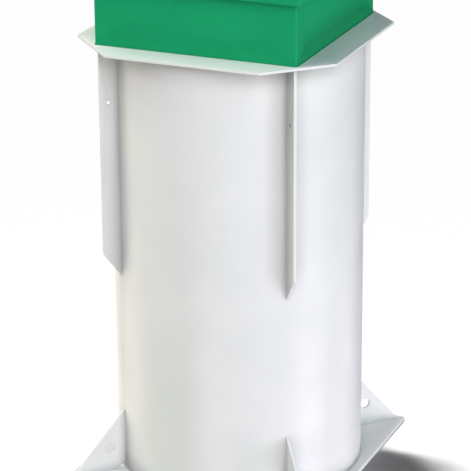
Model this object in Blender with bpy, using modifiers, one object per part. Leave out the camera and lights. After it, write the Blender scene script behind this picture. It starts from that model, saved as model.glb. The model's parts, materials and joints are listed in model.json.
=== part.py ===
"""Packaged septic tank of welded sheet plastic, as separate pieces.

A round white tank stands on a square base plate. Four gussets brace it to the plate and four fins
hang from the eight-sided collar at ground level. Above the collar a square green neck carries a
green lid, hinged at the back. Units are metres, +Z is up, the front looks along -Y, and the origin
is the centre of the base plate's underside.
"""
import math

import bmesh
import bpy
from mathutils import Matrix

# Clear space left between faces that touch
GAP = 0.0003

# Round tank
TANK_RADIUS = 0.500
TANK_WALL = 0.010
TANK_SEGMENTS = 128

# Square base plate
BASE_SIDE = 1.070
BASE_THICKNESS = 0.016

# Eight-sided collar plate at ground level, with a round opening into the tank
COLLAR_SIDE = 1.070
COLLAR_CUT = 0.221
COLLAR_THICKNESS = 0.010
COLLAR_TOP = 1.808
COLLAR_OPENING_RADIUS = 0.390
COLLAR_OPENING_POINTS = 96

# Fins that hang from the collar on the diagonals
FIN_THICKNESS = 0.012
FIN_OUTER_RADIUS = 0.5725
FIN_OUTER_LOW = 0.950
FIN_INNER_LOW = 0.854
FIN_HOLE_RADIUS = 0.0085
FIN_HOLE_HEIGHT = 1.570
FIN_HOLE_POINTS = 16

# Gussets that brace the tank to the base plate on the diagonals
GUSSET_THICKNESS = 0.012
GUSSET_APEX = 0.276
GUSSET_OUTER_RADIUS = 0.714
GUSSET_TOE_HEIGHT = 0.012
GUSSET_SNIPE = 0.036
GUSSET_HOLE_RADIUS = 0.021
GUSSET_HOLE_AT = (0.567, 0.113)
GUSSET_HOLE_POINTS = 24

# Square neck above the collar
NECK_SIDE = 0.827
NECK_WALL = 0.012
NECK_TOP = 2.100
NECK_CORNER_RADIUS = 0.008

# Facets round each upright corner of the neck and the lid
CORNER_SEGMENTS = 4

# Soft seal on the neck's rim
SEAL_THICKNESS = 0.006

# Lid: a flat top with four skirts, and a liner that rests on the seal
LID_OVERHANG = 0.022
SKIRT_THICKNESS = 0.010
SKIRT_LOW = 2.045
LID_THICKNESS = 0.012
LID_TOP = 2.140
LID_CORNER_RADIUS = 0.008
LID_EDGE_RADIUS = 0.004

# Two hinges on the back: welded blocks with a steel pin each
HINGE_X = 0.260
HINGE_WIDTH = 0.090
KNUCKLE_WIDTH = 0.040
KNUCKLE_RADIUS = 0.011
KNUCKLE_SIDE_PLAY = 0.0015
HINGE_OUT = 0.012
HINGE_DROP = 0.017
BRACKET_PLATE = 0.010
BRACKET_BELOW_AXIS = 0.030
LEAF_THICKNESS = 0.006
LEAF_ABOVE_AXIS = 0.018
LEAF_HEIGHT = 0.052
PIN_RADIUS = 0.005
PIN_HEAD_RADIUS = 0.008
PIN_HEAD_LENGTH = 0.003
BRACKET_HOLE_RADIUS = 0.0053
KNUCKLE_HOLE_RADIUS = 0.0055
HINGE_SEGMENTS = 24

# Values that follow from the driving dimensions
COLLAR_LOW = COLLAR_TOP - COLLAR_THICKNESS
NECK_HALF = NECK_SIDE / 2
LID_HALF = NECK_HALF + LID_OVERHANG
LID_UNDERSIDE = LID_TOP - LID_THICKNESS
HINGE_AXIS_Y = LID_HALF + HINGE_OUT
HINGE_AXIS_Z = SKIRT_LOW - HINGE_DROP

DIAGONALS = {
    "front_right": math.radians(-45),
    "back_right": math.radians(45),
    "back_left": math.radians(135),
    "front_left": math.radians(-135),
}


def clear_scene():
    for old in list(bpy.data.objects):
        bpy.data.objects.remove(old, do_unlink=True)


def new_collection(name):
    group = bpy.data.collections.new(name)
    bpy.context.scene.collection.children.link(group)
    return group


def plastic(name, colour, roughness, metallic=0.0):
    material = bpy.data.materials.new(name)
    material.use_nodes = True
    shader = material.node_tree.nodes["Principled BSDF"]
    shader.inputs["Base Color"].default_value = (*colour, 1.0)
    shader.inputs["Roughness"].default_value = roughness
    shader.inputs["Metallic"].default_value = metallic
    return material


def adopt(piece, name, group, material):
    """Names a new object, gives it its material and moves it to its collection."""
    piece.name = name
    piece.data.name = name
    piece.data.materials.clear()
    if material is not None:
        piece.data.materials.append(material)
    for old_group in list(piece.users_collection):
        old_group.objects.unlink(piece)
    group.objects.link(piece)
    return piece


def box(name, group, material, low, high):
    """A box between two corners, its size baked into its mesh."""
    centre = [(a + b) / 2 for a, b in zip(low, high)]
    size = [b - a for a, b in zip(low, high)]
    bpy.ops.mesh.primitive_cube_add(size=1.0, location=centre)
    piece = bpy.context.active_object
    piece.data.transform(Matrix.Diagonal((*size, 1.0)))
    return adopt(piece, name, group, material)


def rod_along_x(name, group, material, radius, length, centre):
    bpy.ops.mesh.primitive_cylinder_add(
        vertices=HINGE_SEGMENTS, radius=radius, depth=length, location=centre,
        rotation=(0, math.radians(90), 0))
    return adopt(bpy.context.active_object, name, group, material)


def circle_points(centre, radius, count):
    turns = [2 * math.pi * i / count for i in range(count)]
    return [(centre[0] + radius * math.cos(a), centre[1] + radius * math.sin(a)) for a in turns]


def flat_plate(name, group, material, outlines, thickness):
    """A flat plate from an outline and the outlines of its holes, centred on its thickness."""
    curve = bpy.data.curves.new(name, "CURVE")
    curve.dimensions = "2D"
    curve.fill_mode = "BOTH"
    curve.extrude = thickness / 2
    for outline in outlines:
        spline = curve.splines.new("POLY")
        spline.points.add(len(outline) - 1)
        for point, (x, y) in zip(spline.points, outline):
            point.co = (x, y, 0, 1)
        spline.use_cyclic_u = True
    piece = bpy.data.objects.new(name, curve)
    bpy.context.scene.collection.objects.link(piece)
    return adopt(piece, name, group, material)


def stand_on_diagonal(piece, angle):
    """Turns a plate drawn as radius and height upright, its radius along the angle."""
    piece.rotation_euler = (math.radians(90), 0, angle)


def turned(name, group, material, profile, segments, closed):
    """A profile of radius and height, top to bottom on its outer side, turned about Z."""
    mesh = bpy.data.meshes.new(name)
    shape = bmesh.new()
    points = [shape.verts.new((radius, 0, height)) for radius, height in profile]
    for first, second in zip(points, points[1:]):
        shape.edges.new((first, second))
    if closed:
        shape.edges.new((points[-1], points[0]))
    shape.to_mesh(mesh)
    shape.free()
    piece = bpy.data.objects.new(name, mesh)
    bpy.context.scene.collection.objects.link(piece)
    screw = piece.modifiers.new("turn", "SCREW")
    screw.axis = "Z"
    screw.steps = segments
    screw.render_steps = segments
    screw.use_merge_vertices = True
    screw.merge_threshold = 0.0001
    screw.use_smooth_shade = False
    return adopt(piece, name, group, material)


def round_edges(piece, largest, segments, radius_of):
    """Rounds each edge by the radius that its two ends, in the object's own space, call for."""
    mesh = piece.data
    weights = mesh.attributes.new("bevel_weight_edge", "FLOAT", "EDGE")
    for edge in mesh.edges:
        first, second = (mesh.vertices[i].co for i in edge.vertices)
        weights.data[edge.index].value = radius_of(first, second) / largest
    bevel = piece.modifiers.new("round", "BEVEL")
    bevel.limit_method = "WEIGHT"
    bevel.width = largest
    bevel.segments = segments


def combine(piece, tool, operation):
    """Joins or cuts a mesh by a helper solid, which is hidden and left out of the part."""
    tool.hide_render = True
    tool.display_type = "WIRE"
    change = piece.modifiers.new(operation.lower(), "BOOLEAN")
    change.operation = operation
    change.solver = "EXACT"
    change.object = tool


def build_base(group, material):
    half = BASE_SIDE / 2
    box("base_plate", group, material, (-half, -half, 0), (half, half, BASE_THICKNESS))


def build_tank_shell(group, material):
    low = BASE_THICKNESS + GAP
    high = COLLAR_LOW - GAP
    inner = TANK_RADIUS - TANK_WALL
    profile = [(TANK_RADIUS, high), (TANK_RADIUS, low), (inner, low), (inner, high)]
    turned("tank_shell", group, material, profile, TANK_SEGMENTS, closed=True)


def build_collar(group, material):
    half = COLLAR_SIDE / 2
    near = half - COLLAR_CUT
    outline = [(half, -near), (half, near), (near, half), (-near, half),
               (-half, near), (-half, -near), (-near, -half), (near, -half)]
    opening = circle_points((0, 0), COLLAR_OPENING_RADIUS, COLLAR_OPENING_POINTS)
    plate = flat_plate("collar_plate", group, material, [outline, opening], COLLAR_THICKNESS)
    plate.location = (0, 0, COLLAR_TOP - COLLAR_THICKNESS / 2)


def build_fins(group, material):
    inner = TANK_RADIUS + GAP
    top = COLLAR_LOW - GAP
    outline = [(inner, FIN_INNER_LOW), (FIN_OUTER_RADIUS, FIN_OUTER_LOW), (FIN_OUTER_RADIUS, top), (inner, top)]
    middle = (TANK_RADIUS + FIN_OUTER_RADIUS) / 2
    hole = circle_points((middle, FIN_HOLE_HEIGHT), FIN_HOLE_RADIUS, FIN_HOLE_POINTS)
    for corner, angle in DIAGONALS.items():
        fin = flat_plate("fin_" + corner, group, material, [outline, hole], FIN_THICKNESS)
        stand_on_diagonal(fin, angle)


def build_gussets(group, material):
    inner = TANK_RADIUS + GAP
    floor = BASE_THICKNESS + GAP
    outline = [(inner + GUSSET_SNIPE, floor), (GUSSET_OUTER_RADIUS, floor),
               (GUSSET_OUTER_RADIUS, floor + GUSSET_TOE_HEIGHT), (inner, GUSSET_APEX),
               (inner, floor + GUSSET_SNIPE)]
    hole = circle_points(GUSSET_HOLE_AT, GUSSET_HOLE_RADIUS, GUSSET_HOLE_POINTS)
    for corner, angle in DIAGONALS.items():
        gusset = flat_plate("gusset_" + corner, group, material, [outline, hole], GUSSET_THICKNESS)
        stand_on_diagonal(gusset, angle)


def build_box_walls(prefix, group, material, half, wall, low, high, radius):
    """Four upright walls of a square box; front and back run the full width, with round ends."""
    for side, sign in (("front", -1), ("back", 1)):
        near, far = sorted((sign * half, sign * (half - wall)))
        piece = box(prefix + side, group, material, (-half, near, low), (half, far, high))

        def corner_radius(first, second, outer=sign):
            upright = abs(first.z - second.z) > wall
            return radius if upright and first.y * outer > 0 else 0.0

        round_edges(piece, radius, CORNER_SEGMENTS, corner_radius)
    reach = half - wall - GAP
    for side, sign in (("left", -1), ("right", 1)):
        near, far = sorted((sign * half, sign * (half - wall)))
        box(prefix + side, group, material, (near, -reach, low), (far, reach, high))


def build_neck(group, material):
    low = COLLAR_TOP + GAP
    build_box_walls("neck_wall_", group, material, NECK_HALF, NECK_WALL, low, NECK_TOP, NECK_CORNER_RADIUS)


def build_seal(group, material):
    def square(half):
        return [(-half, -half), (half, -half), (half, half), (-half, half)]

    inset = NECK_CORNER_RADIUS / 2
    outlines = [square(NECK_HALF - inset), square(NECK_HALF - NECK_WALL)]
    ring = flat_plate("rim_seal", group, material, outlines, SEAL_THICKNESS)
    ring.location = (0, 0, NECK_TOP + GAP + SEAL_THICKNESS / 2)


def build_lid(group, material, liner_material):
    top = box("lid_top", group, material, (-LID_HALF, -LID_HALF, LID_UNDERSIDE), (LID_HALF, LID_HALF, LID_TOP))

    def rim_radius(first, second):
        if abs(first.z - second.z) > LID_THICKNESS / 2:
            return LID_CORNER_RADIUS
        return LID_EDGE_RADIUS if first.z > 0 else 0.0

    round_edges(top, LID_CORNER_RADIUS, CORNER_SEGMENTS, rim_radius)
    high = LID_UNDERSIDE - GAP
    build_box_walls("lid_skirt_", group, material, LID_HALF, SKIRT_THICKNESS, SKIRT_LOW, high, LID_CORNER_RADIUS)
    reach = LID_HALF - SKIRT_THICKNESS - GAP
    rest = NECK_TOP + GAP + SEAL_THICKNESS + GAP
    box("lid_liner", group, liner_material, (-reach, -reach, rest), (reach, reach, high))


def build_hinge(side, x, group, helpers, plastic_material, pin_material):
    axis = (x, HINGE_AXIS_Y, HINGE_AXIS_Z)
    half = HINGE_WIDTH / 2
    knuckle = KNUCKLE_WIDTH / 2
    slot = knuckle + KNUCKLE_SIDE_PLAY
    beyond = HINGE_AXIS_Y + 2 * KNUCKLE_RADIUS
    wall_face = NECK_HALF + GAP

    bracket = box("hinge_bracket_" + side, group, plastic_material,
                  (x - half, wall_face, HINGE_AXIS_Z - BRACKET_BELOW_AXIS),
                  (x + half, NECK_HALF + BRACKET_PLATE, HINGE_AXIS_Z + KNUCKLE_RADIUS))
    arms = box("bracket_arms_" + side, helpers, None,
               (x - half, NECK_HALF + BRACKET_PLATE / 2, HINGE_AXIS_Z - KNUCKLE_RADIUS),
               (x + half, HINGE_AXIS_Y, HINGE_AXIS_Z + KNUCKLE_RADIUS))
    ears = rod_along_x("bracket_ears_" + side, helpers, None, KNUCKLE_RADIUS, HINGE_WIDTH, axis)
    slot_cut = box("bracket_slot_" + side, helpers, None,
                   (x - slot, NECK_HALF + BRACKET_PLATE, HINGE_AXIS_Z - 2 * KNUCKLE_RADIUS),
                   (x + slot, beyond, HINGE_AXIS_Z + 2 * KNUCKLE_RADIUS))
    bore = rod_along_x("bracket_bore_" + side, helpers, None, BRACKET_HOLE_RADIUS, 2 * HINGE_WIDTH, axis)
    combine(bracket, arms, "UNION")
    combine(bracket, ears, "UNION")
    combine(bracket, slot_cut, "DIFFERENCE")
    combine(bracket, bore, "DIFFERENCE")

    leaf_low = HINGE_AXIS_Z + LEAF_ABOVE_AXIS
    leaf = box("hinge_leaf_" + side, group, plastic_material,
               (x - half, LID_HALF + GAP, leaf_low),
               (x + half, LID_HALF + LEAF_THICKNESS, leaf_low + LEAF_HEIGHT))
    arm = box("leaf_arm_" + side, helpers, None,
              (x - knuckle, LID_HALF + GAP, HINGE_AXIS_Z),
              (x + knuckle, HINGE_AXIS_Y, leaf_low + LEAF_THICKNESS))
    barrel = rod_along_x("leaf_barrel_" + side, helpers, None, KNUCKLE_RADIUS, KNUCKLE_WIDTH, axis)
    leaf_bore = rod_along_x("leaf_bore_" + side, helpers, None, KNUCKLE_HOLE_RADIUS, 2 * HINGE_WIDTH, axis)
    combine(leaf, arm, "UNION")
    combine(leaf, barrel, "UNION")
    combine(leaf, leaf_bore, "DIFFERENCE")

    end = half + GAP
    tip = end + PIN_HEAD_LENGTH
    profile = [(0, tip), (PIN_HEAD_RADIUS, tip), (PIN_HEAD_RADIUS, end), (PIN_RADIUS, end),
               (PIN_RADIUS, -end), (PIN_HEAD_RADIUS, -end), (PIN_HEAD_RADIUS, -tip), (0, -tip)]
    pin = turned("hinge_pin_" + side, group, pin_material, profile, HINGE_SEGMENTS, closed=False)
    pin.rotation_euler = (0, math.radians(90), 0)
    pin.location = axis


def shade_round_pieces(group):
    for piece in group.objects:
        if piece.type == "MESH":
            piece.data.shade_smooth()
            piece.data.set_sharp_from_angle(angle=math.radians(30))


def build():
    clear_scene()
    tank = new_collection("septic_tank")
    helpers = new_collection("cutters")
    white = plastic("white_plastic", (0.80, 0.81, 0.80), 0.35)
    green = plastic("green_plastic", (0.014, 0.30, 0.12), 0.35)
    foam = plastic("grey_foam", (0.55, 0.56, 0.55), 0.85)
    rubber = plastic("black_rubber", (0.02, 0.02, 0.02), 0.80)
    steel = plastic("pin_steel", (0.60, 0.60, 0.62), 0.30, metallic=1.0)
    build_base(tank, white)
    build_tank_shell(tank, white)
    build_collar(tank, white)
    build_fins(tank, white)
    build_gussets(tank, white)
    build_neck(tank, green)
    build_seal(tank, rubber)
    build_lid(tank, green, foam)
    for side, x in (("left", -HINGE_X), ("right", HINGE_X)):
        build_hinge(side, x, tank, helpers, green, steel)
    shade_round_pieces(tank)


build()
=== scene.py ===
"""The looks of the septic tank: finely rounded sheets, weld beads, plastic finishes, light and camera.

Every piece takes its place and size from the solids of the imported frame, in metres, +Z up.
"""
import json
import math

import bmesh
import bpy
from mathutils import Matrix, Vector


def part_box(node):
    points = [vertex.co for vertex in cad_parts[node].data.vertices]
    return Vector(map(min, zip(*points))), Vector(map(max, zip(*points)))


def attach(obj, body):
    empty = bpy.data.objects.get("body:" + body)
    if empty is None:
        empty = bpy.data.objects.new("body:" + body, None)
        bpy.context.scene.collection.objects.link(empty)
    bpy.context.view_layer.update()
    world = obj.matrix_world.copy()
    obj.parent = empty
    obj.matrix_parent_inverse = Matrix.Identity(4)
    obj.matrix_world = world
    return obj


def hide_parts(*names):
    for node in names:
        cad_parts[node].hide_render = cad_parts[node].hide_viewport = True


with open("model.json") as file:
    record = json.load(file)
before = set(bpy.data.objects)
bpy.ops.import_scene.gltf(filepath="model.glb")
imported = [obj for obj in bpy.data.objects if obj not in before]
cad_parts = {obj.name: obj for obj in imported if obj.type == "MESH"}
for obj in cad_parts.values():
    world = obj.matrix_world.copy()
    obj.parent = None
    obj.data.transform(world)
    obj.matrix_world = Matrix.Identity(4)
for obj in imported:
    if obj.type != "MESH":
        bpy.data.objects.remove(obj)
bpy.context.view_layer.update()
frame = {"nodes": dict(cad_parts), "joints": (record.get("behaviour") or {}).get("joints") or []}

# Rounding of cut sheet edges, and the welds between sheets
SHEET_EDGE = 0.0012
SHELL_RIM = 0.0015
THIN_EDGE = 0.0006
WELD = 0.0032
WELD_STEP = 0.006
WELD_RIPPLE = 0.10
SEAM_WELD = 0.0035
SEAM_RISE = 0.0013

# Fineness of round forms
SHELL_SEGMENTS = 256
OPENING_POINTS = 192
HOLE_POINTS = 64
PIN_SEGMENTS = 48
CORNER_STEPS = 10
EDGE_STEPS = 3

# How far from a corner painted shade darkens the sheets, in metres, and how strongly
WIDE_PAINTED_SHADE = (0.10, 0.7)
NARROW_PAINTED_SHADE = (0.04, 0.5)

# Real sizes that the solids' boxes don't give
WALL = 0.010
NECK_WALL = 0.012
OPENING_RADIUS = 0.390
COLLAR_CUT = 0.221
CORNER_RADIUS = 0.008
LID_EDGE = 0.004
FIN_HOLE = (0.53625, 1.570, 0.0085)
FIN_OUTER_LOW = 0.950
GUSSET_HOLE = (0.567, 0.113, 0.021)
GUSSET_TOE = 0.012
GUSSET_SNIPE = 0.036
SNIPE_RADIUS = 0.002

# Hinge sizes that the solids' boxes don't give
BRACKET_PLATE = 0.010
KNUCKLE_WIDTH = 0.040
KNUCKLE_PLAY = 0.0015
LEAF_THICKNESS = 0.006
LEAF_ABOVE_AXIS = 0.018
PIN_RADIUS = 0.005
PIN_HEAD_LENGTH = 0.003
PIN_CHAMFER = 0.0012
BRACKET_BORE = 0.0053
KNUCKLE_BORE = 0.0055

DIAGONALS = {
    "front_right": math.radians(-45),
    "back_right": math.radians(45),
    "back_left": math.radians(135),
    "front_left": math.radians(-135),
}


def node_group(name, surface_of):
    """A material whose nodes the given function makes; it returns the values for the shader's sockets."""
    material = bpy.data.materials.new(name)
    material.use_nodes = True
    surface_of(material.node_tree, material.node_tree.nodes["Principled BSDF"])
    return material


def add_node(tree, kind, **settings):
    node = tree.nodes.new(kind)
    for name, value in settings.items():
        setattr(node, name, value)
    return node


def noise(tree, where, scale, detail=3.0, stretch=None):
    """A noise's factor, in the piece's own metres, stretched along an axis where wanted."""
    texture = add_node(tree, "ShaderNodeTexNoise")
    texture.inputs["Scale"].default_value = scale
    texture.inputs["Detail"].default_value = detail
    if stretch is not None:
        mapping = add_node(tree, "ShaderNodeMapping")
        mapping.inputs["Scale"].default_value = stretch
        tree.links.new(where, mapping.inputs["Vector"])
        where = mapping.outputs["Vector"]
    tree.links.new(where, texture.inputs["Vector"])
    return texture.outputs["Fac"]


def spread(tree, factor, low, high, start=0.3, end=0.7):
    """Maps a factor between start and end onto a range of values."""
    node = add_node(tree, "ShaderNodeMapRange")
    node.inputs["From Min"].default_value = start
    node.inputs["From Max"].default_value = end
    node.inputs["To Min"].default_value = low
    node.inputs["To Max"].default_value = high
    tree.links.new(factor, node.inputs["Value"])
    return node.outputs["Result"]


def two_colours(tree, factor, first, second):
    node = add_node(tree, "ShaderNodeMix", data_type="RGBA")
    node.inputs["A"].default_value = (*first, 1.0)
    node.inputs["B"].default_value = (*second, 1.0)
    tree.links.new(factor, node.inputs["Factor"])
    return node.outputs["Result"]


def painted_corner_shade(tree, colour, reach, depth):
    """The colour with painted shade: darker towards the inside of tight corners, as an ambient occlusion node finds
    them.
    """
    open_air = add_node(tree, "ShaderNodeAmbientOcclusion", samples=8)
    open_air.inputs["Distance"].default_value = reach
    share = add_node(tree, "ShaderNodeMath", operation="POWER")
    share.inputs[1].default_value = depth
    tree.links.new(open_air.outputs["AO"], share.inputs[0])
    node = add_node(tree, "ShaderNodeMix", data_type="RGBA")
    # Near-black colour that the painted shade mixes towards
    node.inputs["A"].default_value = (0.004, 0.004, 0.004, 1.0)
    tree.links.new(colour, node.inputs["B"])
    tree.links.new(share.outputs["Value"], node.inputs["Factor"])
    return node.outputs["Result"]


def bump(tree, height, distance, strength, under=None):
    node = add_node(tree, "ShaderNodeBump")
    node.inputs["Distance"].default_value = distance
    node.inputs["Strength"].default_value = strength
    tree.links.new(height, node.inputs["Height"])
    if under is not None:
        tree.links.new(under, node.inputs["Normal"])
    return node.outputs["Normal"]


def sheet_plastic(name, first, second, roughness, specular, corner_shade=None):
    """Extruded plastic sheet: soft cloudy colour, a satin skin with fine grain, faint waves and scuffs, and painted
    shade in tight corners where corner_shade is given.
    """
    def surface(tree, shader):
        where = add_node(tree, "ShaderNodeTexCoord").outputs["Object"]
        clouds = noise(tree, where, 5.0, detail=4.0)
        colour = two_colours(tree, spread(tree, clouds, 0.0, 1.0), first, second)
        # Painted shade: the colour darkens in tight corners, standing in for the shade that falls there
        if corner_shade:
            colour = painted_corner_shade(tree, colour, *corner_shade)
        tree.links.new(colour, shader.inputs["Base Color"])
        scuffs = noise(tree, where, 22.0, detail=8.0, stretch=(1.0, 1.0, 0.22))
        tree.links.new(spread(tree, scuffs, roughness - 0.05, roughness + 0.08), shader.inputs["Roughness"])
        waves = bump(tree, noise(tree, where, 9.0, detail=1.0), 0.0008, 0.35)
        grain = bump(tree, noise(tree, where, 700.0, detail=2.0), 0.0001, 0.30, waves)
        tree.links.new(grain, shader.inputs["Normal"])
        shader.inputs["Specular IOR Level"].default_value = specular
        shader.inputs["IOR"].default_value = 1.49

    return node_group(name, surface)


def foam_board():
    """Closed-cell foam: small pale cells, dull all over."""
    def surface(tree, shader):
        where = add_node(tree, "ShaderNodeTexCoord").outputs["Object"]
        cells = add_node(tree, "ShaderNodeTexVoronoi", feature="F1")
        cells.inputs["Scale"].default_value = 260.0
        tree.links.new(where, cells.inputs["Vector"])
        colour = two_colours(tree, spread(tree, cells.outputs["Distance"], 0.0, 1.0, 0.1, 0.8),
                             (0.60, 0.61, 0.60), (0.47, 0.48, 0.48))
        tree.links.new(colour, shader.inputs["Base Color"])
        tree.links.new(spread(tree, cells.outputs["Distance"], 0.80, 0.95), shader.inputs["Roughness"])
        tree.links.new(bump(tree, cells.outputs["Distance"], 0.0006, 0.6), shader.inputs["Normal"])

    return node_group("foam_board", surface)


def sponge_rubber():
    """Dark sponge rubber with a pitted skin."""
    def surface(tree, shader):
        where = add_node(tree, "ShaderNodeTexCoord").outputs["Object"]
        pits = noise(tree, where, 900.0, detail=4.0)
        tree.links.new(two_colours(tree, spread(tree, pits, 0.0, 1.0), (0.014, 0.014, 0.015), (0.034, 0.034, 0.035)),
                       shader.inputs["Base Color"])
        tree.links.new(spread(tree, pits, 0.70, 0.92), shader.inputs["Roughness"])
        tree.links.new(bump(tree, pits, 0.0004, 0.7), shader.inputs["Normal"])

    return node_group("sponge_rubber", surface)


def drawn_steel():
    """Stainless rod with fine lines drawn along it, which is the part's X."""
    def surface(tree, shader):
        where = add_node(tree, "ShaderNodeTexCoord").outputs["Object"]
        lines = noise(tree, where, 1500.0, detail=3.0, stretch=(0.02, 1.0, 1.0))
        tree.links.new(two_colours(tree, spread(tree, lines, 0.0, 1.0), (0.50, 0.50, 0.52), (0.66, 0.66, 0.67)),
                       shader.inputs["Base Color"])
        tree.links.new(spread(tree, lines, 0.24, 0.42), shader.inputs["Roughness"])
        tree.links.new(bump(tree, lines, 0.0001, 0.3), shader.inputs["Normal"])
        shader.inputs["Metallic"].default_value = 1.0

    return node_group("drawn_steel", surface)


# The white sheet, the gusset sheet and the green weld finish have painted shade in their corners; the second white
# finish has none
WHITE = sheet_plastic("white_sheet", (0.80, 0.81, 0.81), (0.84, 0.845, 0.84), 0.36, 0.45, WIDE_PAINTED_SHADE)
UNSHADED_WHITE = sheet_plastic("unshaded_white_sheet", (0.80, 0.81, 0.81), (0.84, 0.845, 0.84), 0.36, 0.45)
GUSSET_WHITE = sheet_plastic("gusset_sheet", (0.80, 0.81, 0.81), (0.84, 0.845, 0.84), 0.36, 0.45, NARROW_PAINTED_SHADE)
GREEN = sheet_plastic("green_sheet", (0.0090, 0.335, 0.135), (0.0110, 0.360, 0.148), 0.48, 0.06)
PAINTED_SHADE_GREEN = sheet_plastic("painted_shade_green_weld", (0.0090, 0.335, 0.135), (0.0110, 0.360, 0.148), 0.48, 0.06, WIDE_PAINTED_SHADE)
FOAM = foam_board()
RUBBER = sponge_rubber()
STEEL = drawn_steel()
FINISHES = {
    "white_plastic": WHITE,
    "green_plastic": GREEN,
    "liner_foam": FOAM,
    "seal_rubber": RUBBER,
    "pin_steel": STEEL,
}


def piece_of(name, shape, slot, body, stands_for, sharp=30.0, finish=None):
    """Makes a shown piece of a bmesh in the frame's own metres; its finish is the slot's own unless given."""
    mesh = bpy.data.meshes.new(name)
    bmesh.ops.recalc_face_normals(shape, faces=shape.faces)
    shape.to_mesh(mesh)
    shape.free()
    mesh.materials.append(finish or FINISHES[slot])
    mesh.shade_smooth()
    mesh.set_sharp_from_angle(angle=math.radians(sharp))
    piece = bpy.data.objects.new(name, mesh)
    bpy.context.scene.collection.objects.link(piece)
    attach(piece, body)
    if stands_for:
        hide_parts(*stands_for)
    return piece


def circle(centre, radius, count):
    turns = [2 * math.pi * i / count for i in range(count)]
    return [(centre[0] + radius * math.cos(a), centre[1] + radius * math.sin(a)) for a in turns]


def rounded(corners, steps=CORNER_STEPS):
    """An outline from corners (x, y, radius), each turned into an arc where it has a radius."""
    points = []
    for i, (x, y, radius) in enumerate(corners):
        here = Vector((x, y))
        before = (Vector(corners[i - 1][:2]) - here).normalized()
        after = (Vector(corners[(i + 1) % len(corners)][:2]) - here).normalized()
        if radius <= 0:
            points.append((x, y))
            continue
        half = before.angle(after) / 2
        centre = here + (before + after).normalized() * radius / math.sin(half)
        arm = here + before * radius / math.tan(half) - centre
        turn = math.copysign(math.pi - 2 * half, after.cross(before))
        points += [tuple(centre + Matrix.Rotation(turn * k / steps, 2) @ arm) for k in range(steps + 1)]
    return points


def sheet(outlines, thickness, edge=SHEET_EDGE):
    """A flat sheet about z = 0 from an outline and its holes, with rounded rims, as a bmesh."""
    curve = bpy.data.curves.new("sheet", "CURVE")
    curve.dimensions = "2D"
    curve.fill_mode = "BOTH"
    curve.extrude = thickness / 2 - edge
    curve.bevel_depth = edge
    curve.bevel_resolution = EDGE_STEPS
    curve.offset = -edge
    for outline in outlines:
        spline = curve.splines.new("POLY")
        spline.points.add(len(outline) - 1)
        for point, (x, y) in zip(spline.points, outline):
            point.co = (x, y, 0, 1)
        spline.use_cyclic_u = True
    holder = bpy.data.objects.new("sheet", curve)
    bpy.context.scene.collection.objects.link(holder)
    evaluated = holder.evaluated_get(bpy.context.evaluated_depsgraph_get())
    mesh = bpy.data.meshes.new_from_object(evaluated)
    shape = bmesh.new()
    shape.from_mesh(mesh)
    bmesh.ops.remove_doubles(shape, verts=shape.verts, dist=edge / 50)
    bpy.data.objects.remove(holder)
    bpy.data.curves.remove(curve)
    bpy.data.meshes.remove(mesh)
    return shape


def moved(shape, matrix):
    bmesh.ops.transform(shape, matrix=matrix, verts=shape.verts)
    return shape


def upright(angle):
    """Turns a sheet drawn as radius and height upright, its radius along the angle."""
    return Matrix.Rotation(angle, 4, "Z") @ Matrix.Rotation(math.radians(90), 4, "X")


def turned(profile, segments, closed=True):
    """A profile of radius and height, turned about Z; an open one starts and ends on the axis."""
    shape = bmesh.new()
    points = [shape.verts.new((radius, 0, height)) for radius, height in profile]
    after = points[1:] + points[:1] if closed else points[1:]
    edges = [shape.edges.new((a, b)) for a, b in zip(points, after)]
    bmesh.ops.spin(shape, geom=points + edges, cent=(0, 0, 0), axis=(0, 0, 1),
                   angle=2 * math.pi, steps=segments)
    bmesh.ops.remove_doubles(shape, verts=shape.verts, dist=0.00001)
    return shape


def bead(name, path, body, slot, radius=WELD, cyclic=False, finish=None):
    """A weld bead along a path: a slim tube that swells and narrows a little along its run."""
    curve = bpy.data.curves.new(name, "CURVE")
    curve.dimensions = "3D"
    curve.bevel_depth = radius
    curve.bevel_resolution = 3
    curve.use_fill_caps = True
    spline = curve.splines.new("POLY")
    spline.points.add(len(path) - 1)
    for i, (point, place) in enumerate(zip(spline.points, path)):
        point.co = (*place, 1)
        point.radius = 1 + WELD_RIPPLE * math.sin(2.4 * i) * math.sin(0.37 * i)
    spline.use_cyclic_u = cyclic
    holder = bpy.data.objects.new(name, curve)
    bpy.context.scene.collection.objects.link(holder)
    evaluated = holder.evaluated_get(bpy.context.evaluated_depsgraph_get())
    mesh = bpy.data.meshes.new_from_object(evaluated)
    shape = bmesh.new()
    shape.from_mesh(mesh)
    bmesh.ops.remove_doubles(shape, verts=shape.verts, dist=0.00001)
    bpy.data.objects.remove(holder)
    bpy.data.curves.remove(curve)
    bpy.data.meshes.remove(mesh)
    return piece_of(name, shape, slot, body, (), sharp=60.0, finish=finish)


def straight(start, end, step=WELD_STEP):
    """Points at even steps from start to end."""
    start = Vector(start)
    end = Vector(end)
    count = max(2, round((end - start).length / step))
    return [start.lerp(end, i / count) for i in range(count + 1)]


def ring(radius, height, step=WELD_STEP):
    count = round(2 * math.pi * radius / step)
    return [(radius * math.cos(2 * math.pi * i / count), radius * math.sin(2 * math.pi * i / count), height)
            for i in range(count)]


def along_diagonal(angle, radius, height, side=0.0):
    """A point at a radius along a diagonal, offset sideways from the diagonal's plane."""
    return (radius * math.cos(angle) - side * math.sin(angle),
            radius * math.sin(angle) + side * math.cos(angle), height)


def build_base():
    low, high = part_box("base_plate")
    corners = [(x, y, SHEET_EDGE * 2) for x, y in
               ((low.x, low.y), (high.x, low.y), (high.x, high.y), (low.x, high.y))]
    shape = sheet([rounded(corners)], high.z - low.z)
    piece_of("base_sheet", moved(shape, Matrix.Translation((0, 0, (low.z + high.z) / 2))),
             "white_plastic", "tank", ["base_plate"], finish=UNSHADED_WHITE)


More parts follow.
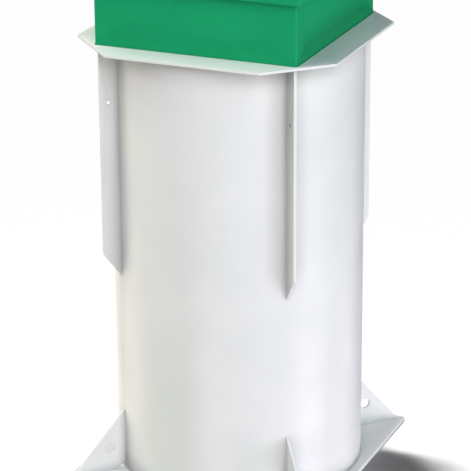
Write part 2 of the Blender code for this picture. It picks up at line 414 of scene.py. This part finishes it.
def build_shell():
    low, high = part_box("tank_shell")
    outer = high.x
    inner = outer - WALL
    rim = SHELL_RIM
    profile = rounded([(inner, low.z, 0), (outer, low.z, 0), (outer, high.z, rim), (inner, high.z, rim)], 4)
    piece_of("tank_wall", turned(profile, SHELL_SEGMENTS), "white_plastic", "tank", ["tank_shell"])
    bead("foot_weld", ring(outer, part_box("base_plate")[1].z), "tank", "white_plastic", cyclic=True)
    bead("collar_weld", ring(outer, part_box("collar_plate")[0].z), "tank", "white_plastic", cyclic=True)
    seam = outer + SEAM_RISE - SEAM_WELD
    bead("shell_seam", straight((0, seam, low.z), (0, seam, high.z)), "tank", "white_plastic", SEAM_WELD)


def build_collar():
    low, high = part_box("collar_plate")
    half = high.x
    near = half - COLLAR_CUT
    corners = [(half, -near), (half, near), (near, half), (-near, half),
               (-half, near), (-half, -near), (-near, -half), (near, -half)]
    outline = rounded([(x, y, SHEET_EDGE * 2) for x, y in corners], 3)
    opening = circle((0, 0), OPENING_RADIUS, OPENING_POINTS)
    shape = sheet([outline, opening], high.z - low.z)
    piece_of("collar_sheet", moved(shape, Matrix.Translation((0, 0, (low.z + high.z) / 2))),
             "white_plastic", "tank", ["collar_plate"], finish=UNSHADED_WHITE)


def diagonal_reach(node):
    """Inner and outer radius, lowest and highest point and thickness of a sheet on a diagonal."""
    mesh = frame["nodes"][node].data
    radii = [math.hypot(v.co.x, v.co.y) for v in mesh.vertices]
    across = [abs(abs(v.co.x) - abs(v.co.y)) for v in mesh.vertices]
    heights = [v.co.z for v in mesh.vertices]
    half = max(across) / math.sqrt(2)
    inner = math.sqrt(min(radii) ** 2 - half ** 2)
    outer = math.sqrt(max(radii) ** 2 - half ** 2)
    return inner, outer, min(heights), max(heights), 2 * half


def build_fins():
    for corner, angle in DIAGONALS.items():
        node = "fin_" + corner
        inner, outer, low, high, thickness = diagonal_reach(node)
        outline = rounded([(inner, low, 0), (outer, FIN_OUTER_LOW, SNIPE_RADIUS), (outer, high, 0), (inner, high, 0)])
        hole = circle(FIN_HOLE[:2], FIN_HOLE[2], HOLE_POINTS)
        shape = sheet([outline, hole], thickness)
        piece_of("fin_sheet_" + corner, moved(shape, upright(angle)), "white_plastic", "tank", [node])
        for side, sign in (("a", -1), ("b", 1)):
            edge = sign * thickness / 2
            bead(f"fin_weld_{corner}_{side}",
                 straight(along_diagonal(angle, inner, low + 0.004, edge), along_diagonal(angle, inner, high, edge)),
                 "tank", "white_plastic")


def build_gussets():
    for corner, angle in DIAGONALS.items():
        node = "gusset_" + corner
        inner, outer, low, high, thickness = diagonal_reach(node)
        outline = rounded([(inner + GUSSET_SNIPE, low, SNIPE_RADIUS), (outer, low, 0),
                           (outer, low + GUSSET_TOE, SNIPE_RADIUS), (inner, high, 0),
                           (inner, low + GUSSET_SNIPE, SNIPE_RADIUS)])
        hole = circle(GUSSET_HOLE[:2], GUSSET_HOLE[2], HOLE_POINTS)
        shape = sheet([outline, hole], thickness)
        piece_of("gusset_sheet_" + corner, moved(shape, upright(angle)), "white_plastic", "tank", [node],
                 finish=GUSSET_WHITE)
        for side, sign in (("a", -1), ("b", 1)):
            edge = sign * thickness / 2
            bead(f"gusset_wall_weld_{corner}_{side}",
                 straight(along_diagonal(angle, inner, low + GUSSET_SNIPE + 0.002, edge),
                          along_diagonal(angle, inner, high - 0.006, edge)), "tank", "white_plastic")
            bead(f"gusset_foot_weld_{corner}_{side}",
                 straight(along_diagonal(angle, inner + GUSSET_SNIPE + 0.002, low, edge),
                          along_diagonal(angle, outer - 0.004, low, edge)), "tank", "white_plastic")


def box_walls(prefix, name, wall, radius, body):
    """Four upright walls; front and back run the full width with round outer corners."""
    for side, sign in (("front", -1), ("back", 1)):
        low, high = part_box(prefix + side)
        outer = high.y if sign > 0 else low.y
        inner = outer - sign * wall
        corners = [(low.x, outer, radius), (high.x, outer, radius), (high.x, inner, 0), (low.x, inner, 0)]
        shape = sheet([rounded(corners)], high.z - low.z, THIN_EDGE)
        piece_of(name + side, moved(shape, Matrix.Translation((0, 0, (low.z + high.z) / 2))),
                 "green_plastic", body, [prefix + side])
    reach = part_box(prefix + "back")[0].y
    for side in ("left", "right"):
        low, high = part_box(prefix + side)
        corners = [(low.x, -reach), (high.x, -reach), (high.x, reach), (low.x, reach)]
        shape = sheet([corners], high.z - low.z, THIN_EDGE)
        piece_of(name + side, moved(shape, Matrix.Translation((0, 0, (low.z + high.z) / 2))),
                 "green_plastic", body, [prefix + side])


def rounded_square(half, radius):
    return rounded([(-half, -half, radius), (half, -half, radius), (half, half, radius), (-half, half, radius)])


def build_neck():
    box_walls("neck_wall_", "neck_sheet_", NECK_WALL, CORNER_RADIUS, "tank")
    low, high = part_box("neck_wall_front")
    outline = rounded_square(high.x, CORNER_RADIUS)
    path = []
    for first, second in zip(outline, outline[1:] + outline[:1]):
        path += straight((*first, low.z), (*second, low.z))[:-1]
    # The weld round the neck's foot has painted shade in its corner with the collar
    bead("neck_weld", path, "tank", "green_plastic", cyclic=True, finish=PAINTED_SHADE_GREEN)


def build_seal():
    low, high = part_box("rim_seal")
    outlines = [rounded_square(high.x, CORNER_RADIUS / 2), rounded_square(high.x - 0.008, 0.001)]
    shape = sheet(outlines, high.z - low.z, 0.002)
    piece_of("rim_strip", moved(shape, Matrix.Translation((0, 0, (low.z + high.z) / 2))),
             "seal_rubber", "tank", ["rim_seal"])


def build_lid():
    low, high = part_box("lid_top")
    shape = sheet([rounded_square(high.x, CORNER_RADIUS)], high.z - low.z, LID_EDGE)
    piece_of("lid_sheet", moved(shape, Matrix.Translation((0, 0, (low.z + high.z) / 2))),
             "green_plastic", "lid", ["lid_top"])
    skirt = high.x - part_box("lid_skirt_right")[0].x
    box_walls("lid_skirt_", "lid_edge_", skirt, CORNER_RADIUS, "lid")
    low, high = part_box("lid_liner")
    shape = sheet([rounded_square(high.x, 0.003)], high.z - low.z, 0.0015)
    piece_of("liner_board", moved(shape, Matrix.Translation((0, 0, (low.z + high.z) / 2))),
             "liner_foam", "lid", ["lid_liner"])


def across(centre, thickness, outline, holes=()):
    """A sheet drawn in Y and Z, standing across X about the given middle."""
    shape = sheet([outline, *holes], thickness, THIN_EDGE)
    turn = Matrix(((0, 0, 1), (1, 0, 0), (0, 1, 0))).to_4x4()
    return moved(shape, Matrix.Translation((centre, 0, 0)) @ turn)


def joined(shapes):
    whole = bmesh.new()
    for shape in shapes:
        mesh = bpy.data.meshes.new("joined")
        shape.to_mesh(mesh)
        shape.free()
        whole.from_mesh(mesh)
        bpy.data.meshes.remove(mesh)
    return whole


def build_hinge(side):
    _, axis_y, axis_z = frame["joints"][0]["pos_m"]
    low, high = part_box("hinge_bracket_" + side)
    middle = (low.x + high.x) / 2
    width = high.x - low.x
    knuckle = high.y - axis_y
    inner = KNUCKLE_WIDTH / 2 + KNUCKLE_PLAY
    arm_width = width / 2 - inner
    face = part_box("neck_wall_back")[1].y + BRACKET_PLATE

    def lobe(near, bore):
        """A block from a face out to a round end about the pin, with the pin's bore."""
        turns = [math.radians(-90 + 180 * i / 24) for i in range(25)]
        tip = [(axis_y + knuckle * math.cos(a), axis_z + knuckle * math.sin(a)) for a in turns]
        return [*tip, (near, axis_z + knuckle), (near, axis_z - knuckle)], [circle((axis_y, axis_z), bore, 32)]

    plate = across(middle, width, [(low.y, low.z), (face, low.z), (face, high.z), (low.y, high.z)])
    outline, holes = lobe(face - BRACKET_PLATE / 2, BRACKET_BORE)
    arms = [across(middle + sign * (inner + arm_width / 2), arm_width, outline, holes) for sign in (-1, 1)]
    piece_of("bracket_" + side, joined([plate, *arms]), "green_plastic", "tank", ["hinge_bracket_" + side])

    low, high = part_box("hinge_leaf_" + side)
    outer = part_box("lid_skirt_back")[1].y + LEAF_THICKNESS
    foot = axis_z + LEAF_ABOVE_AXIS
    rise = foot + LEAF_THICKNESS
    plate = across(middle, width, [(low.y, foot), (outer, foot), (outer, high.z), (low.y, high.z)])
    turns = [math.radians(180 + 270 * i / 36) for i in range(37)]
    barrel = [(axis_y + knuckle * math.cos(a), axis_z + knuckle * math.sin(a)) for a in turns]
    barrel = [p for p in barrel if not (p[1] > axis_z and p[0] < axis_y)]
    arm = across(middle, KNUCKLE_WIDTH, [*barrel, (axis_y, rise), (low.y, rise)],
                 [circle((axis_y, axis_z), KNUCKLE_BORE, 32)])
    piece_of("leaf_" + side, joined([plate, arm]), "green_plastic", "lid", ["hinge_leaf_" + side])

    low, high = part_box("hinge_pin_" + side)
    tip = (high.x - low.x) / 2
    head = (high.z - low.z) / 2
    end = tip - PIN_HEAD_LENGTH
    c = PIN_CHAMFER
    half_profile = [(head - c, tip), (head, tip - c), (head, end), (PIN_RADIUS, end)]
    profile = [(0, tip), *half_profile, *[(r, -z) for r, z in reversed(half_profile)], (0, -tip)]
    shape = turned(profile, PIN_SEGMENTS, closed=False)
    turn = Matrix.Translation((middle, axis_y, axis_z)) @ Matrix.Rotation(math.radians(90), 4, "Y")
    piece_of("pin_" + side, moved(shape, turn), "pin_steel", "tank", ["hinge_pin_" + side])


def towards(azimuth, elevation):
    """A direction away from the part, in degrees; azimuth 0 is the front, and it grows towards the right."""
    a = math.radians(azimuth)
    e = math.radians(elevation)
    return Vector((math.sin(a) * math.cos(e), -math.cos(a) * math.cos(e), math.sin(e)))


def add_lamp(name, kind, energy, colour, away):
    lamp = bpy.data.lights.new(name, kind)
    lamp.energy = energy
    lamp.color = colour
    holder = bpy.data.objects.new(name, lamp)
    bpy.context.scene.collection.objects.link(holder)
    holder.rotation_euler = away.to_track_quat("Z", "Y").to_euler()
    return holder


def soft_box(name, azimuth, elevation, side, colour):
    """A square lamp aimed at the part; its colour is the brightness of a white face turned to it."""
    away = towards(azimuth, elevation)
    holder = add_lamp(name, "AREA", math.pi * BOX_DISTANCE ** 2, colour, away)
    holder.data.shape = "SQUARE"
    holder.data.size = side
    holder.location = Vector((0, 0, BOX_AIM)) + away * BOX_DISTANCE
    return holder


def build_floor():
    mesh = bpy.data.meshes.new("floor")
    shape = bmesh.new()
    bmesh.ops.create_grid(shape, x_segments=1, y_segments=1, size=60.0)
    shape.to_mesh(mesh)
    shape.free()
    floor = bpy.data.objects.new("floor", mesh)
    bpy.context.scene.collection.objects.link(floor)
    material = bpy.data.materials.new("floor")
    material.use_nodes = True
    shader = material.node_tree.nodes["Principled BSDF"]
    shader.inputs["Base Color"].default_value = (0.68, 0.68, 0.68, 1.0)
    shader.inputs["Roughness"].default_value = 0.9
    shader.inputs["Specular IOR Level"].default_value = 0.0
    mesh.materials.append(material)
    floor.visible_diffuse = False
    floor.visible_glossy = False
    floor.visible_shadow = False
    return floor


def light_group(name, floor, state):
    """A collection that lets a lamp reach only the floor, or everything else."""
    group = bpy.data.collections.new(name)
    group.objects.link(floor)
    group.collection_objects[0].light_linking.link_state = state
    return group


# Soft boxes all round: azimuth, elevation, side and colour. The low ones stand for the pale floor's bounce.
BOX_AIM = 1.0
BOX_DISTANCE = 8.0
SOFT_BOXES = {
    "high_left": (-90.0, 62.0, 4.0, (0.545, 0.516, 0.430)),
    "high_front_left": (-45.0, 62.0, 4.0, (0.834, 0.950, 0.854)),
    "high_front_right": (45.0, 62.0, 4.0, (0.005, 0.023, 0.114)),
    "back_left": (-135.0, 34.0, 4.0, (0.264, 0.253, 0.250)),
    "left": (-90.0, 34.0, 4.0, (0.690, 0.805, 0.695)),
    "front_left": (-45.0, 34.0, 4.0, (0.425, 0.308, 0.365)),
    "front_right": (45.0, 34.0, 4.0, (1.333, 1.346, 1.431)),
    "side_left": (-90.0, 9.0, 2.5, (0.805, 0.775, 0.650)),
    "side_front_right": (45.0, 9.0, 2.5, (0.777, 0.774, 0.732)),
    "side_right": (90.0, 9.0, 2.5, (0.083, 0.208, 0.115)),
    "side_back": (180.0, 9.0, 2.5, (0.600, 0.600, 0.600)),
    "low_back_left": (-135.0, -30.0, 4.0, (0.504, 0.485, 0.433)),
    "low_left": (-90.0, -30.0, 4.0, (0.650, 0.524, 0.575)),
    "low_front_left": (-45.0, -30.0, 4.0, (0.135, 0.234, 0.069)),
    "low_front": (0.0, -30.0, 4.0, (0.852, 0.808, 0.844)),
    "low_right": (90.0, -30.0, 4.0, (1.246, 1.137, 1.309)),
    "low_back_right": (135.0, -30.0, 4.0, (0.515, 0.479, 0.531)),
    "low_back": (180.0, -30.0, 4.0, (1.000, 1.000, 1.000)),
}
# Boxes behind the part that leave no bright line along the edges of the round wall
DULL_BOXES = ("low_back",)
# A row of suns for the floor's shadow, which is soft along X and crisp across it; azimuth and elevation
SUNS = ((-131.1, 75.1), (-126.1, 73.5), (-122.1, 71.8), (-118.9, 70.1))
SUN_SPREAD = 3.0
SUN_LEVEL = 1.52


def build_light(floor):
    """Soft boxes light the part, and a row of high suns lights the pale floor."""
    part_only = light_group("part_only", floor, "EXCLUDE")
    floor_only = light_group("floor_only", floor, "INCLUDE")
    for name, settings in SOFT_BOXES.items():
        box = soft_box(name, *settings)
        box.light_linking.receiver_collection = part_only
        box.visible_glossy = name not in DULL_BOXES
    for number, away in enumerate(SUNS):
        sun = add_lamp(f"sun_{number}", "SUN", SUN_LEVEL * math.pi / len(SUNS), (1.0, 1.0, 1.0), towards(*away))
        sun.data.angle = math.radians(SUN_SPREAD)
        sun.light_linking.receiver_collection = floor_only
    world = bpy.data.worlds.new("studio")
    bpy.context.scene.world = world
    world.use_nodes = True
    back = world.node_tree.nodes["Background"]
    back.inputs["Color"].default_value = (0.98, 0.98, 0.98, 1.0)
    back.inputs["Strength"].default_value = 1.0
    world.cycles_visibility.diffuse = False
    world.cycles_visibility.glossy = False
    bpy.context.scene.view_settings.view_transform = "Standard"


# The camera, fitted to the photograph: angles in degrees, lengths in metres
VIEW_AZIMUTH = 23.1204
VIEW_ELEVATION = 20.3817
VIEW_ROLL = -0.3875
VIEW_DISTANCE = 9.82964
VIEW_LENS = 187.33
AIM_HEIGHT = 0.90400 + 0.04363
AIM_RIGHT = -0.01154


def build_camera():
    a = math.radians(VIEW_AZIMUTH)
    away = towards(VIEW_AZIMUTH, VIEW_ELEVATION)
    right = Vector((math.cos(a), math.sin(a), 0.0))
    aim = Vector((0, 0, AIM_HEIGHT)) + right * AIM_RIGHT
    turn = Matrix((right, away.cross(right), away)).transposed().to_4x4()
    camera = bpy.data.objects.new("camera", bpy.data.cameras.new("camera"))
    camera.data.lens = VIEW_LENS
    camera.data.sensor_width = 36.0
    camera.matrix_world = Matrix.Translation(aim + away * VIEW_DISTANCE) @ turn @ Matrix.Rotation(
        math.radians(VIEW_ROLL), 4, "Z")
    bpy.context.scene.collection.objects.link(camera)
    bpy.context.scene.camera = camera


build_base()
build_shell()
build_collar()
build_fins()
build_gussets()
build_neck()
build_seal()
build_lid()
for hinge_side in ("left", "right"):
    build_hinge(hinge_side)
build_light(build_floor())
build_camera()
